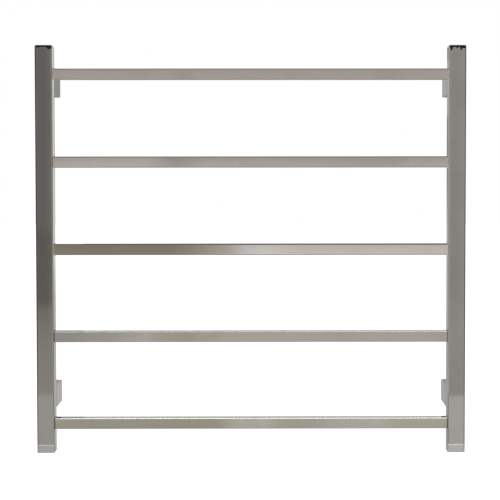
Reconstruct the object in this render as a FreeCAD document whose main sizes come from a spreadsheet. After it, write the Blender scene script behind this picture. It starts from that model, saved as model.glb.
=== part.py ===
import FreeCAD, Part
import math
import os
import re

import Sketcher

# A wall-mounted heated towel rack: two square posts, a ladder of square bars welded between them, and
# four hollow legs that slide over blocks screwed to the wall and are clamped there by grub screws. One
# heating cable winds through every bar and both posts, and is fed through the lower right leg.
#
# Frame: +Z up, the rack's front faces -Y, the wall is the plane y = 0, and the origin is on the wall in
# the middle of the four wall screws. Millimetres throughout.

SIZES = [
    ("rack_width", 620, "over the outer faces of the posts"),
    ("rack_height", 590, "from the underside of the bottom caps to the top of the top caps"),
    ("rack_depth", 85, "from the wall to the front of the posts"),
    ("bar_count", 5, "bars, evenly spaced"),
    ("top_bar_drop", 42, "from the rack's top to the middle of the highest bar"),
    ("low_bar_rise", 42, "from the rack's bottom to the middle of the lowest bar"),
    ("post_size", 25, "side of the posts' square tube"),
    ("post_wall", 1.2, "wall of the posts' tube"),
    ("post_corner", 1.5, "outer corner radius of the posts' tube"),
    ("post_bore_corner", 0.4, "inner corner radius of the posts' tube"),
    ("bar_size", 16, "side of the bars' square tube"),
    ("bar_wall", 1, "wall of the bars' tube"),
    ("bar_corner", 1.2, "outer corner radius of the bars' tube"),
    ("bar_bore_corner", 0.3, "inner corner radius of the bars' tube"),
    ("cap_plate", 2.5, "thickness of the top caps' plate"),
    ("cap_edge", 1.2, "rounding of the top caps' upper edge"),
    ("foot_depth", 12, "height of the bottom caps below the posts"),
    ("foot_edge", 0.6, "chamfer round the bottom caps' underside"),
    ("foot_seam", 0.4, "chamfer round the bottom caps' upper edge, which shows as a seam"),
    ("plug_depth", 8, "how far each cap's plug goes into its post"),
    ("plug_gap", 0.15, "gap all round a plug in its post"),
    ("leg_tall", 32, "height of the legs' section, which is as wide as a post"),
    ("leg_wall", 2, "wall of the legs"),
    ("leg_corner", 1.5, "outer corner radius of the legs"),
    ("leg_bore_corner", 0.5, "inner corner radius of the legs"),
    ("top_leg_drop", 57, "from the rack's top to the middle of the upper legs"),
    ("low_leg_rise", 78, "from the rack's bottom to the middle of the lower legs"),
    ("wall_gap", 0.5, "gap between a leg's end and the wall"),
    ("base_length", 18, "how far a wall base stands out from the wall"),
    ("base_gap", 0.15, "gap all round a wall base in its leg"),
    ("screw_hole", 5.5, "hole for the wall screw"),
    ("screw_head", 10, "mouth of the countersink for the wall screw's head"),
    ("grub_reach", 9, "from the wall to the axis of a grub screw"),
    ("grub_size", 5, "grub screw, over its thread"),
    ("grub_length", 4.4, "grub screw, end to end"),
    ("grub_edge", 0.4, "chamfer at both ends of a grub screw"),
    ("grub_gap", 0.05, "radial gap between a grub screw and its hole"),
    ("grub_tip_gap", 0.05, "gap between a grub screw's tip and the floor of the groove"),
    ("grub_key", 2.5, "across the flats of a grub screw's socket"),
    ("grub_key_depth", 2, "depth of a grub screw's socket"),
    ("groove_depth", 2.5, "groove under a wall base, which the grub screw bears in"),
    ("groove_gap", 0.6, "room between the grub screw and the groove's sides and end"),
    ("notch_width", 9, "notch over the cabled wall base, for the supply"),
    ("notch_depth", 8, "depth of that notch"),
    ("supply_bore", 6, "bore of the grommet in the notch"),
    ("cable_size", 5, "heating cable and cold lead, over the sheath"),
    ("cable_shift", 4.5, "how far the cable's upright runs stand outwards of the posts' middle"),
    ("cable_bend", 20, "bend radius of the heating cable on its centre line"),
    ("cable_hole", 11, "hole through a post's wall into each bar"),
    ("cable_end", 20, "from a post's inner face to the cable's far end, inside the highest bar"),
    ("lead_bend", 16, "bend radius of the cold lead on its centre line"),
    ("lead_hole", 10, "hole through a post's back wall, for the cold lead"),
    ("lead_end", 20, "from a post's inner face to the cold lead's end, inside the lowest bar"),
    ("cutout_size", 9, "thermal cut-out, diameter"),
    ("cutout_length", 28, "thermal cut-out, end to end"),
    ("cutout_edge", 1, "chamfer at both ends of the thermal cut-out"),
    ("boot_wall", 1, "wall of the boots and of the end seal"),
    ("boot_length", 12, "boots at both ends of the thermal cut-out"),
    ("boot_gap", 0.1, "radial gap between a boot or seal and the cable in it"),
    ("seal_length", 25, "end seal, end to end"),
    ("seal_grip", 15, "length of cable inside the end seal"),
    ("block_gap", 10, "room for wiring between the wall base and the terminal block"),
    ("block_length", 16, "terminal block, along the leg"),
    ("block_width", 18, "terminal block, across the leg"),
    ("block_rise", 4, "top of the terminal block above the leg's axis"),
    ("pole_pitch", 5.5, "between the terminal block's poles"),
    ("pole_bore", 3.6, "wire bore of a pole"),
    ("pole_screw", 3, "diameter of a pole's screws"),
    ("pole_screw_gap", 0.05, "radial gap round a pole's screw"),
    ("pole_screw_length", 2.4, "length of a pole's screws"),
    ("pole_screw_sink", 0.4, "how deep a pole's screws sit below the block's top"),
    ("pole_screw_inset", 4, "from either end of the block to a pole's screw"),
    ("stud_size", 4, "earth stud, over its thread"),
    ("stud_length", 7.5, "earth stud, down from the leg's inner face"),
    ("stud_gap", 6, "from the wall base to the earth stud's axis"),
    ("nut_across", 7, "earth nut, across the flats"),
    ("nut_thick", 3.2, "earth nut"),
    ("nut_gap", 0.05, "radial gap between the earth stud and its nut or tag"),
    ("tag_size", 8, "earth tag's ring, outer diameter"),
    ("tag_thick", 0.8, "earth tag's plate"),
    ("tag_barrel", 3, "earth tag's barrel, diameter"),
    ("tag_barrel_length", 6, "earth tag's barrel, end to end"),
    ("earth_size", 2.2, "earth wire, over its insulation"),
    ("earth_bend", 5.5, "bend radius of the earth wire on its centre line"),
    ("earth_loop", 3, "straight run of the earth wire past the terminal block"),
    ("earth_grip", 5, "length of earth wire inside its pole"),
]
ALIASES = {alias for alias, value, meaning in SIZES}

# Levels and places that several pieces share, worked out from the driving sizes.
TOP = "(rack_height + top_leg_drop - low_leg_rise) / 2"
BOTTOM = "(top_leg_drop - low_leg_rise - rack_height) / 2"
LEG_LEVEL = "(rack_height - top_leg_drop - low_leg_rise) / 2"
LOWEST_BAR = f"({BOTTOM} + low_bar_rise)"
BAR_PITCH = "((rack_height - top_bar_drop - low_bar_rise) / (bar_count - 1))"
POST_MIDDLE = "(rack_width - post_size) / 2"
POST_FACE = "(rack_width / 2 - post_size)"
POST_DEPTH = "(post_size / 2 - rack_depth)"
POST_BORE = "(post_size - 2 * post_wall)"
BAR_BORE = "(bar_size - 2 * bar_wall)"
PLUG_SIDE = f"({POST_BORE} - 2 * plug_gap)"
LEG_BORE_WIDE = "(post_size - 2 * leg_wall)"
LEG_BORE_TALL = "(leg_tall - 2 * leg_wall)"
BASE_WIDE = f"({LEG_BORE_WIDE} - 2 * base_gap)"
BASE_TALL = f"({LEG_BORE_TALL} - 2 * base_gap)"
BLOCK_FACE = "(base_length + block_gap)"
STUD_REACH = "(base_length + stud_gap)"
CUTOUT_START = f"({POST_FACE} - lead_end)"

TOUCH = 1e-6
X_AXIS = FreeCAD.Vector(1, 0, 0)
Y_AXIS = FreeCAD.Vector(0, 1, 0)
Z_AXIS = FreeCAD.Vector(0, 0, 1)

document = FreeCAD.newDocument("TowelRack")
sheet = document.addObject("Spreadsheet::Sheet", "Sizes")
for row, (alias, value, meaning) in enumerate(SIZES, start=1):
    sheet.set(f"A{row}", alias)
    sheet.set(f"B{row}", str(value))
    sheet.set(f"C{row}", meaning)
    sheet.setAlias(f"B{row}", alias)
document.recompute()

sub_parts = []


# ---- Helpers ------------------------------------------------------------------------------------


def formula(text):
    """The text with every alias pointed at the spreadsheet, for setExpression."""
    return re.sub(
        r"[a-z_]+",
        lambda word: "Sizes." + word.group() if word.group() in ALIASES else word.group(),
        text,
    )


def number(text):
    """The value of a formula, for shapes that code works out."""
    return float(sheet.evalExpression(formula(text)))


def place(thing, x="0", y="0", z="0", turn=None):
    """Binds the position of a sub-part to formulas, after an optional turn."""
    if turn:
        thing.Placement = FreeCAD.Placement(FreeCAD.Vector(), turn)
    for axis, text in (("x", x), ("y", y), ("z", z)):
        thing.setExpression(f"Placement.Base.{axis}", formula(text))


def new_body(label):
    """An empty body that becomes the sub-part of that name."""
    body = document.addObject("PartDesign::Body", label)
    body.Label = label
    sub_parts.append(body)
    return body


def new_sketch(body, plane, offset="0"):
    """A sketch on one of the body's own origin planes, moved along the plane's normal."""
    sketch = body.newObject("Sketcher::SketchObject", f"{body.Label}_sketch")
    support = [item for item in body.Origin.OriginFeatures if item.Role == plane]
    sketch.AttachmentSupport = [(support[0], "")]
    sketch.MapMode = "FlatFace"
    sketch.setExpression("AttachmentOffset.Base.z", formula(offset))
    return sketch


def dimension(sketch, text, kind, *where):
    """Adds a dimension whose value follows a formula."""
    index = sketch.addConstraint(Sketcher.Constraint(kind, *where, number(text)))
    sketch.setExpression(f"Constraints[{index}]", formula(text))


def centre_point(sketch, geometry, place_on, x, y):
    """Holds one point of a shape at a place measured from the sketch's origin."""
    for kind, text in (("DistanceX", x), ("DistanceY", y)):
        dimension(sketch, text, kind, -1, 1, geometry, place_on)


def draw_circle(sketch, diameter, x="0", y="0"):
    centre = FreeCAD.Vector(number(x), number(y))
    index = sketch.addGeometry(Part.Circle(centre, Z_AXIS, number(diameter) / 2))
    dimension(sketch, diameter, "Diameter", index)
    centre_point(sketch, index, 3, x, y)


def draw_rectangle(sketch, left, right, low, high):
    """A sharp rectangle between two places across and two up."""
    x_low, x_high, y_low, y_high = (number(text) for text in (left, right, low, high))
    corners = [(x_low, y_low), (x_high, y_low), (x_high, y_high), (x_low, y_high)]
    points = [FreeCAD.Vector(x, y) for x, y in corners]
    sides = [
        sketch.addGeometry(Part.LineSegment(points[side], points[(side + 1) % 4])) for side in range(4)
    ]
    for side in range(4):
        sketch.addConstraint(Sketcher.Constraint("Coincident", sides[side], 2, sides[(side + 1) % 4], 1))
        level = "Vertical" if side % 2 else "Horizontal"
        sketch.addConstraint(Sketcher.Constraint(level, sides[side]))
    centre_point(sketch, sides[0], 1, left, low)
    centre_point(sketch, sides[2], 1, right, high)


def draw_rounded_rectangle(sketch, wide, tall, corner):
    """A rectangle with rounded corners, centred on the sketch's origin."""
    half_wide, half_tall, radius = number(wide) / 2, number(tall) / 2, number(corner)
    across, up = half_wide - radius, half_tall - radius
    centres = [(-across, -up), (across, -up), (across, up), (-across, up)]
    arcs = []
    lines = []
    for turn, (x, y) in enumerate(centres):
        circle = Part.Circle(FreeCAD.Vector(x, y), Z_AXIS, radius)
        start = math.pi + turn * math.pi / 2
        arcs.append(sketch.addGeometry(Part.ArcOfCircle(circle, start, start + math.pi / 2)))
    for turn, (x, y) in enumerate(centres):
        next_x, next_y = centres[(turn + 1) % 4]
        aside = FreeCAD.Vector(radius * (0, 1, 0, -1)[turn], radius * (-1, 0, 1, 0)[turn])
        begin, finish = FreeCAD.Vector(x, y) + aside, FreeCAD.Vector(next_x, next_y) + aside
        lines.append(sketch.addGeometry(Part.LineSegment(begin, finish)))
    for turn in range(4):
        following = arcs[(turn + 1) % 4]
        sketch.addConstraint(Sketcher.Constraint("Tangent", arcs[turn], 2, lines[turn], 1))
        sketch.addConstraint(Sketcher.Constraint("Tangent", lines[turn], 2, following, 1))
        level = "Vertical" if turn % 2 else "Horizontal"
        sketch.addConstraint(Sketcher.Constraint(level, lines[turn]))
    for turn in range(3):
        sketch.addConstraint(Sketcher.Constraint("Equal", arcs[turn], arcs[turn + 1]))
    dimension(sketch, corner, "Radius", arcs[0])
    dimension(sketch, wide, "DistanceX", lines[3], 1, lines[1], 1)
    dimension(sketch, tall, "DistanceY", lines[0], 1, lines[2], 1)
    sketch.addConstraint(Sketcher.Constraint("Symmetric", arcs[0], 3, arcs[2], 3, -1, 1))


def draw_hexagon(sketch, across, x="0", y="0"):
    """A regular hexagon with two upright flats, given across the flats."""
    centre = FreeCAD.Vector(number(x), number(y))
    radius = number(across) / math.sqrt(3)
    guide = sketch.addGeometry(Part.Circle(centre, Z_AXIS, radius), True)
    angles = [math.radians(30 + 60 * turn) for turn in range(6)]
    points = [centre + FreeCAD.Vector(math.cos(a), math.sin(a)) * radius for a in angles]
    sides = [
        sketch.addGeometry(Part.LineSegment(points[side], points[(side + 1) % 6])) for side in range(6)
    ]
    for side in range(6):
        sketch.addConstraint(Sketcher.Constraint("Coincident", sides[side], 2, sides[(side + 1) % 6], 1))
        sketch.addConstraint(Sketcher.Constraint("PointOnObject", sides[side], 1, guide))
    for side in range(5):
        sketch.addConstraint(Sketcher.Constraint("Equal", sides[side], sides[side + 1]))
    sketch.addConstraint(Sketcher.Constraint("Vertical", sides[2]))
    dimension(sketch, f"{across} / cos(30 deg)", "Diameter", guide)
    centre_point(sketch, guide, 3, x, y)


def pad(sketch, length, both_ways=False):
    """Grows the sketch along its normal, or evenly both ways."""
    body = sketch.getParentGeoFeatureGroup()
    feature = body.newObject("PartDesign::Pad", f"{body.Label}_pad")
    feature.Profile = sketch
    feature.SideType = "Symmetric" if both_ways else "One side"
    feature.setExpression("Length", formula(length))
    document.recompute()
    return feature


def pocket(sketch, length, along_normal=False):
    """Cuts the sketch against its normal, or along it, and checks that something was cut."""
    body = sketch.getParentGeoFeatureGroup()
    before = body.Shape.Volume
    feature = body.newObject("PartDesign::Pocket", f"{body.Label}_pocket")
    feature.Profile = sketch
    feature.Reversed = along_normal
    feature.setExpression("Length", formula(length))
    document.recompute()
    if feature.Shape.Volume > before - TOUCH:
        raise RuntimeError(f"{feature.Label} cut nothing")
    return feature


def edges_at(feature, axis, level):
    """Names of the feature's edges that lie flat at one level of an axis."""
    names = []
    for index, edge in enumerate(feature.Shape.Edges, start=1):
        first, last = edge.FirstParameter, edge.LastParameter
        points = [edge.valueAt(place) for place in (first, (first + last) / 2, last)]
        if all(abs(point.dot(axis) - level) < TOUCH for point in points):
            names.append(f"Edge{index}")
    return names


def dress(kind, feature, size, edges):
    """A Fillet or Chamfer of one size on the named edges of a body's last feature."""
    body = feature.getParentGeoFeatureGroup()
    dressing = body.newObject(f"PartDesign::{kind}", f"{body.Label}_{kind.lower()}")
    dressing.Base = (feature, edges)
    dressing.setExpression("Radius" if kind == "Fillet" else "Size", formula(size))
    document.recompute()
    return dressing


def new_solid(label, shape):
    """A sub-part whose shape is worked out in code."""
    feature = document.addObject("Part::Feature", label)
    feature.Label = label
    feature.Shape = shape
    sub_parts.append(feature)
    return feature


def bent_tube(label, diameter, points, radii):
    """A round tube along straight runs joined by tangent arcs, one radius for each inner point."""
    edges = []
    start = points[0]
    for before, corner, after, radius in zip(points, points[1:], points[2:], radii):
        back = (before - corner).normalize()
        onward = (after - corner).normalize()
        half_turn = (math.pi - back.getAngle(onward)) / 2
        enter = corner + back * (radius * math.tan(half_turn))
        leave = corner + onward * (radius * math.tan(half_turn))
        centre = corner + (back + onward).normalize() * (radius / math.cos(half_turn))
        middle = centre + (corner - centre).normalize() * radius
        edges.append(Part.LineSegment(start, enter).toShape())
        edges.append(Part.Arc(enter, middle, leave).toShape())
        start = leave
    edges.append(Part.LineSegment(start, points[-1]).toShape())
    path = Part.Wire(edges)
    section = Part.Wire(Part.makeCircle(diameter / 2, points[0], points[1] - points[0]))
    tube = path.makePipeShell([section], True, False)
    expected = math.pi * diameter**2 / 4 * path.Length
    print(
        f"{label}: length {path.Length:.1f}, radii {min(radii):.1f} to {max(radii):.1f},"
        f" volume {tube.Volume:.1f}, section by length {expected:.1f}"
    )
    return new_solid(label, tube)


def square_tube(label, plane, wide, tall, corner, bore_wide, bore_tall, bore_corner, offset="0"):
    """A body whose first sketch is the section of a rectangular tube."""
    body = new_body(label)
    sketch = new_sketch(body, plane, offset)
    draw_rounded_rectangle(sketch, wide, tall, corner)
    draw_rounded_rectangle(sketch, bore_wide, bore_tall, bore_corner)
    return body, sketch


# ---- Posts and bars -----------------------------------------------------------------------------


def make_post(label, side):
    """One upright tube, with a hole into each bar; the right one is the left one turned half round."""
    body, section = square_tube(
        label, "XY_Plane", "post_size", "post_size", "post_corner", POST_BORE, POST_BORE, "post_bore_corner"
    )
    pad(section, "rack_height - cap_plate - foot_depth")
    holes = new_sketch(body, "YZ_Plane")
    draw_circle(holes, "cable_hole", "0", "low_bar_rise - foot_depth")
    first_hole = pocket(holes, "post_size", along_normal=True)
    column = body.newObject("PartDesign::LinearPattern", f"{label}_holes")
    column.Originals = [first_hole]
    column.Direction = (holes, ["V_Axis"])
    column.setExpression("Length", formula(f"{BAR_PITCH} * (bar_count - 1)"))
    column.setExpression("Occurrences", formula("bar_count"))
    body.Tip = column
    document.recompute()
    if side > 0:
        lead = new_sketch(body, "XZ_Plane")
        draw_circle(lead, "lead_hole", "0", "low_leg_rise - foot_depth")
        pocket(lead, "post_size", along_normal=True)
    half_turn = FreeCAD.Rotation(Z_AXIS, 180 if side > 0 else 0)
    place(body, f"{side} * {POST_MIDDLE}", POST_DEPTH, f"{BOTTOM} + foot_depth", half_turn)


def make_bar(label, index):
    """One horizontal tube, welded between the inner faces of the posts."""
    body, section = square_tube(
        label, "YZ_Plane", "bar_size", "bar_size", "bar_corner", BAR_BORE, BAR_BORE, "bar_bore_corner"
    )
    pad(section, f"2 * {POST_FACE}", both_ways=True)
    place(body, "0", POST_DEPTH, f"{LOWEST_BAR} + {index} * {BAR_PITCH}")


# ---- Caps ---------------------------------------------------------------------------------------


def add_plug(body, offset, downwards):
    """The square plug that holds a cap in its post."""
    sketch = new_sketch(body, "XY_Plane", offset)
    draw_rounded_rectangle(sketch, PLUG_SIDE, PLUG_SIDE, "post_bore_corner")
    plug = pad(sketch, "plug_depth")
    plug.Reversed = downwards


def make_top_cap(label, side):
    """A flush plate with a rounded upper edge, and a plug below it."""
    body = new_body(label)
    outline = new_sketch(body, "XY_Plane")
    draw_rounded_rectangle(outline, "post_size", "post_size", "post_corner")
    plate = pad(outline, "cap_plate")
    dress("Fillet", plate, "cap_edge", edges_at(plate, Z_AXIS, number("cap_plate")))
    add_plug(body, "0", downwards=True)
    place(body, f"{side} * {POST_MIDDLE}", POST_DEPTH, f"{TOP} - cap_plate")


def make_bottom_cap(label, side):
    """A deep block under the post, chamfered below and at the seam, and a plug above it."""
    body = new_body(label)
    outline = new_sketch(body, "XY_Plane")
    draw_rounded_rectangle(outline, "post_size", "post_size", "post_corner")
    block = pad(outline, "foot_depth")
    seam = dress("Chamfer", block, "foot_seam", edges_at(block, Z_AXIS, number("foot_depth")))
    dress("Chamfer", seam, "foot_edge", edges_at(seam, Z_AXIS, 0))
    add_plug(body, "foot_depth", downwards=False)
    place(body, f"{side} * {POST_MIDDLE}", POST_DEPTH, BOTTOM)


# ---- Legs, wall bases and grub screws -----------------------------------------------------------


def make_leg(label, side, level):
    """A hollow leg from the post's back to the wall, with a tapped hole in its underside."""
    body, section = square_tube(
        label,
        "XZ_Plane",
        "post_size",
        "leg_tall",
        "leg_corner",
        LEG_BORE_WIDE,
        LEG_BORE_TALL,
        "leg_bore_corner",
        "wall_gap",
    )
    pad(section, "rack_depth - post_size - wall_gap")
    hole = new_sketch(body, "XY_Plane")
    draw_circle(hole, "grub_size + 2 * grub_gap", "0", "-grub_reach")
    pocket(hole, "leg_tall")
    place(body, f"{side} * {POST_MIDDLE}", "0", f"{level} * {LEG_LEVEL}")


def make_wall_base(label, side, level, cabled):
    """The block screwed to the wall inside a leg; the cabled one has a notch for the supply."""
    body = new_body(label)
    section = new_sketch(body, "XZ_Plane")
    draw_rounded_rectangle(section, BASE_WIDE, BASE_TALL, "leg_bore_corner")
    pad(section, "base_length")
    groove = new_sketch(body, "XY_Plane", f"groove_depth - {BASE_TALL} / 2")
    groove_half = "(grub_size / 2 + groove_gap)"
    draw_rectangle(
        groove, f"-{groove_half}", groove_half, "-base_length", f"{groove_half} - grub_reach"
    )
    pocket(groove, "groove_depth")
    if cabled:
        notch = new_sketch(body, "XY_Plane", f"{BASE_TALL} / 2 - notch_depth")
        draw_rectangle(notch, "-notch_width / 2", "notch_width / 2", "-base_length", "0")
        pocket(notch, "notch_depth", along_normal=True)
    mouth = new_sketch(body, "XZ_Plane", "base_length")
    draw_circle(mouth, "screw_hole")
    document.recompute()
    before = body.Shape.Volume
    hole = body.newObject("PartDesign::Hole", f"{label}_hole")
    hole.Profile = mouth
    hole.DepthType = "ThroughAll"
    hole.setExpression("Diameter", formula("screw_hole"))
    hole.HoleCutType = "Countersink"
    hole.HoleCutCountersinkAngle = 90
    hole.setExpression("HoleCutDiameter", formula("screw_head"))
    document.recompute()
    if hole.Shape.Volume > before - TOUCH:
        raise RuntimeError(f"{hole.Label} cut nothing")
    place(body, f"{side} * {POST_MIDDLE}", "0", f"{level} * {LEG_LEVEL}")


def make_grub_screw(label, side, level):
    """A flat-point screw with a hexagon socket; its tip bears on the floor of the base's groove."""
    body = new_body(label)
    outline = new_sketch(body, "XY_Plane")
    draw_circle(outline, "grub_size")
    shank = pad(outline, "grub_length")
    ends = edges_at(shank, Z_AXIS, 0) + edges_at(shank, Z_AXIS, number("grub_length"))
    dress("Chamfer", shank, "grub_edge", ends)
    socket = new_sketch(body, "XY_Plane")
    draw_hexagon(socket, "grub_key")
    pocket(socket, "grub_key_depth", along_normal=True)
    tip = f"groove_depth - {BASE_TALL} / 2 - grub_tip_gap"
    place(
        body,
        f"{side} * {POST_MIDDLE}",
        "-grub_reach",
        f"{level} * {LEG_LEVEL} + {tip} - grub_length",
    )


def make_grommet():
    """The rubber strip with a bore that fills the notch of the cabled base."""
    body = new_body("cable_grommet")
    sketch = new_sketch(body, "XZ_Plane")
    draw_rectangle(sketch, "-notch_width / 2", "notch_width / 2", "-notch_depth / 2", "notch_depth / 2")
    draw_circle(sketch, "supply_bore")
    pad(sketch, "base_length")
    place(body, POST_MIDDLE, "0", f"{BASE_TALL} / 2 - notch_depth / 2 - {LEG_LEVEL}")


# ---- Heating cable and its fittings -------------------------------------------------------------


def make_heating_cable():
    """The cable's one route: along each bar in turn, and up through a post to the next."""
    reach = number(f"{POST_MIDDLE} + cable_shift")
    level = number(LOWEST_BAR)
    start = number(f"{CUTOUT_START} - cutout_length")
    points = [FreeCAD.Vector(start, 0, level)]
    side = -1
    for _ in range(int(number("bar_count")) - 1):
        points.append(FreeCAD.Vector(side * reach, 0, level))
        level += number(BAR_PITCH)
        points.append(FreeCAD.Vector(side * reach, 0, level))
        side = -side
    points.append(FreeCAD.Vector(side * number(f"{POST_FACE} - cable_end"), 0, level))
    radii = [number("cable_bend")] * (len(points) - 2)
    cable = bent_tube("heating_cable", number("cable_size"), points, radii)
    place(cable, "0", POST_DEPTH, "0")
    return side


def make_cold_lead():
    """The unheated lead: out of the terminal block, down inside the post and into the lowest bar."""
    leg, bar = number(f"-{LEG_LEVEL}"), number(LOWEST_BAR)
    across, depth = number(POST_MIDDLE), number(POST_DEPTH)
    points = [
        FreeCAD.Vector(across, number(f"-{BLOCK_FACE} - block_length"), leg),
        FreeCAD.Vector(across, depth, leg),
        FreeCAD.Vector(across, depth, bar),
        FreeCAD.Vector(number(CUTOUT_START), depth, bar),
    ]
    points = [point - points[0] for point in points]
    lead = bent_tube("cold_lead", number("cable_size"), points, [number("lead_bend")] * 2)
    place(lead, POST_MIDDLE, f"-{BLOCK_FACE} - block_length", f"-{LEG_LEVEL}")


def make_thermal_cutout():
    """The sealed can, in line with the cable, that breaks the circuit if the bar gets too hot."""
    body = new_body("thermal_cutout")
    sketch = new_sketch(body, "YZ_Plane")
    draw_circle(sketch, "cutout_size")
    can = pad(sketch, "cutout_length", both_ways=True)
    half = number("cutout_length / 2")
    dress("Chamfer", can, "cutout_edge", edges_at(can, X_AXIS, half) + edges_at(can, X_AXIS, -half))
    place(body, f"{CUTOUT_START} - cutout_length / 2", POST_DEPTH, LOWEST_BAR)


def make_boot(label, start):
    """A shrunk sleeve over the joint between the can and the cable or the lead."""
    body = new_body(label)
    sketch = new_sketch(body, "YZ_Plane")
    bore = "(cable_size + 2 * boot_gap)"
    draw_circle(sketch, f"{bore} + 2 * boot_wall")
    draw_circle(sketch, bore)
    pad(sketch, "boot_length")
    place(body, start, POST_DEPTH, LOWEST_BAR)


def make_end_seal(side):
    """The blind sleeve on the cable's far end, in the highest bar."""
    body = new_body("end_seal")
    outline = new_sketch(body, "YZ_Plane")
    bore = "(cable_size + 2 * boot_gap)"
    draw_circle(outline, f"{bore} + 2 * boot_wall")
    pad(outline, "seal_length")
    socket = new_sketch(body, "YZ_Plane")
    draw_circle(socket, bore)
    pocket(socket, "seal_grip", along_normal=True)
    mouth = f"{side} * ({POST_FACE} - cable_end - seal_grip)"
    turn = FreeCAD.Rotation(Z_AXIS, 180 if side < 0 else 0)
    place(body, mouth, POST_DEPTH, f"{LOWEST_BAR} + (bar_count - 1) * {BAR_PITCH}", turn)


# ---- Terminals and earthing, in the lower right leg ---------------------------------------------


def make_terminal_block():
    """The three-pole block on the floor of the leg, with a wire bore and two screw holes a pole."""
    body = new_body("terminal_block")
    floor = f"-{LEG_BORE_TALL} / 2"
    outline = new_sketch(body, "XZ_Plane")
    draw_rectangle(outline, "-block_width / 2", "block_width / 2", floor, "block_rise")
    for pole in (-1, 0, 1):
        draw_circle(outline, "pole_bore", f"{pole} * pole_pitch")
    pad(outline, "block_length")
    mouths = new_sketch(body, "XY_Plane")
    for pole, inset in pole_screw_places():
        draw_circle(mouths, "pole_screw + 2 * pole_screw_gap", f"{pole} * pole_pitch", f"-{inset}")
    pocket(mouths, "block_rise", along_normal=True)
    place(body, POST_MIDDLE, f"-{BLOCK_FACE}", f"-{LEG_LEVEL}")


def pole_screw_places():
    """Which pole each terminal screw is on, and how far it stands from the block's supply face."""
    return [
        (pole, inset)
        for pole in (-1, 0, 1)
        for inset in ("pole_screw_inset", "(block_length - pole_screw_inset)")
    ]


def make_terminal_screws():
    """Six slotted screws, one group of separate solids."""
    length, diameter = number("pole_screw_length"), number("pole_screw")
    slot = diameter / 5
    screws = []
    for pole, inset in pole_screw_places():
        x, y = pole * number("pole_pitch"), -number(inset)
        low = number("block_rise - pole_screw_sink") - length
        shank = Part.makeCylinder(diameter / 2, length, FreeCAD.Vector(x, y, low))
        corner = FreeCAD.Vector(x - diameter, y - slot / 2, low + length - slot)
        screws.append(shank.cut(Part.makeBox(2 * diameter, slot, slot, corner)))
    group = new_solid("terminal_screws", Part.makeCompound(screws))
    place(group, POST_MIDDLE, f"-{BLOCK_FACE}", f"-{LEG_LEVEL}")


EARTH_X = f"{POST_MIDDLE} + pole_pitch"
LEG_CEILING = f"({LEG_BORE_TALL} / 2 - {LEG_LEVEL})"


def make_earth_stud():
    """A threaded stud welded to the ceiling of the leg."""
    body = new_body("earth_stud")
    outline = new_sketch(body, "XY_Plane")
    draw_circle(outline, "stud_size")
    pad(outline, "stud_length")
    place(body, EARTH_X, f"-{STUD_REACH}", f"{LEG_CEILING} - stud_length")


def make_earth_nut():
    """A hexagon nut on the stud, tight under the tag."""
    body = new_body("earth_nut")
    outline = new_sketch(body, "XY_Plane")
    draw_hexagon(outline, "nut_across")
    draw_circle(outline, "stud_size + 2 * nut_gap")
    pad(outline, "nut_thick")
    place(body, EARTH_X, f"-{STUD_REACH}", f"{LEG_CEILING} - tag_thick - nut_thick")


def make_earth_tag():
    """A ring tag round the stud, with a crimped barrel that points into the leg."""
    ring = number("tag_size / 2")
    thick, barrel = number("tag_thick"), number("tag_barrel / 2")
    plate = Part.makeCylinder(ring, thick, FreeCAD.Vector(0, 0, -thick))
    neck = Part.makeBox(2 * barrel, 2 * ring, thick, FreeCAD.Vector(-barrel, -2 * ring, -thick))
    start = FreeCAD.Vector(0, -number("tag_size / 2 + tag_barrel / 2"), -barrel)
    crimp = Part.makeCylinder(barrel, number("tag_barrel_length"), start, -Y_AXIS)
    hole = Part.makeCylinder(number("stud_size / 2 + nut_gap"), thick, FreeCAD.Vector(0, 0, -thick))
    tag = new_solid("earth_tag", plate.fuse([neck, crimp]).cut(hole).removeSplitter())
    place(tag, EARTH_X, f"-{STUD_REACH}", LEG_CEILING)


def make_earth_wire():
    """The short wire from the tag, round past the block and back into its earth pole."""
    height = number(f"{LEG_BORE_TALL} / 2 - tag_barrel / 2")
    start = -number(f"{STUD_REACH} + tag_size / 2 + tag_barrel / 2 + tag_barrel_length")
    far = -number(f"{BLOCK_FACE} + block_length + earth_loop + earth_bend")
    finish = -number(f"{BLOCK_FACE} + block_length - earth_grip")
    points = [
        FreeCAD.Vector(0, start, height),
        FreeCAD.Vector(0, far, height),
        FreeCAD.Vector(0, far, 0),
        FreeCAD.Vector(0, finish, 0),
    ]
    wire = bent_tube("earth_wire", number("earth_size"), points, [number("earth_bend")] * 2)
    place(wire, EARTH_X, "0", f"-{LEG_LEVEL}")


# ---- Assembly -----------------------------------------------------------------------------------

SIDES = {"left": -1, "right": 1}
LEVELS = {"top": 1, "bottom": -1}

for side_name, side in SIDES.items():
    make_post(f"{side_name}_post", side)
    make_top_cap(f"top_cap_{side_name}", side)
    make_bottom_cap(f"bottom_cap_{side_name}", side)
    for level_name, level in LEVELS.items():
        corner_name = f"{level_name}_{side_name}"
        cabled = corner_name == "bottom_right"
        make_leg(f"leg_{corner_name}", side, level)
        make_wall_base(f"wall_base_{corner_name}", side, level, cabled)
        make_grub_screw(f"grub_screw_{corner_name}", side, level)

bar_count = int(number("bar_count"))
for index in range(bar_count):
    make_bar(f"bar_{bar_count - index}", index)

make_grommet()
cable_finishes_on = make_heating_cable()
make_cold_lead()
make_thermal_cutout()
make_boot("lead_boot", CUTOUT_START)
make_boot("cable_boot", f"{CUTOUT_START} - cutout_length - boot_length")
make_end_seal(cable_finishes_on)
make_terminal_block()
make_terminal_screws()
make_earth_stud()
make_earth_nut()
make_earth_tag()
make_earth_wire()
document.recompute()


# ---- Checks and export --------------------------------------------------------------------------

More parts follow.
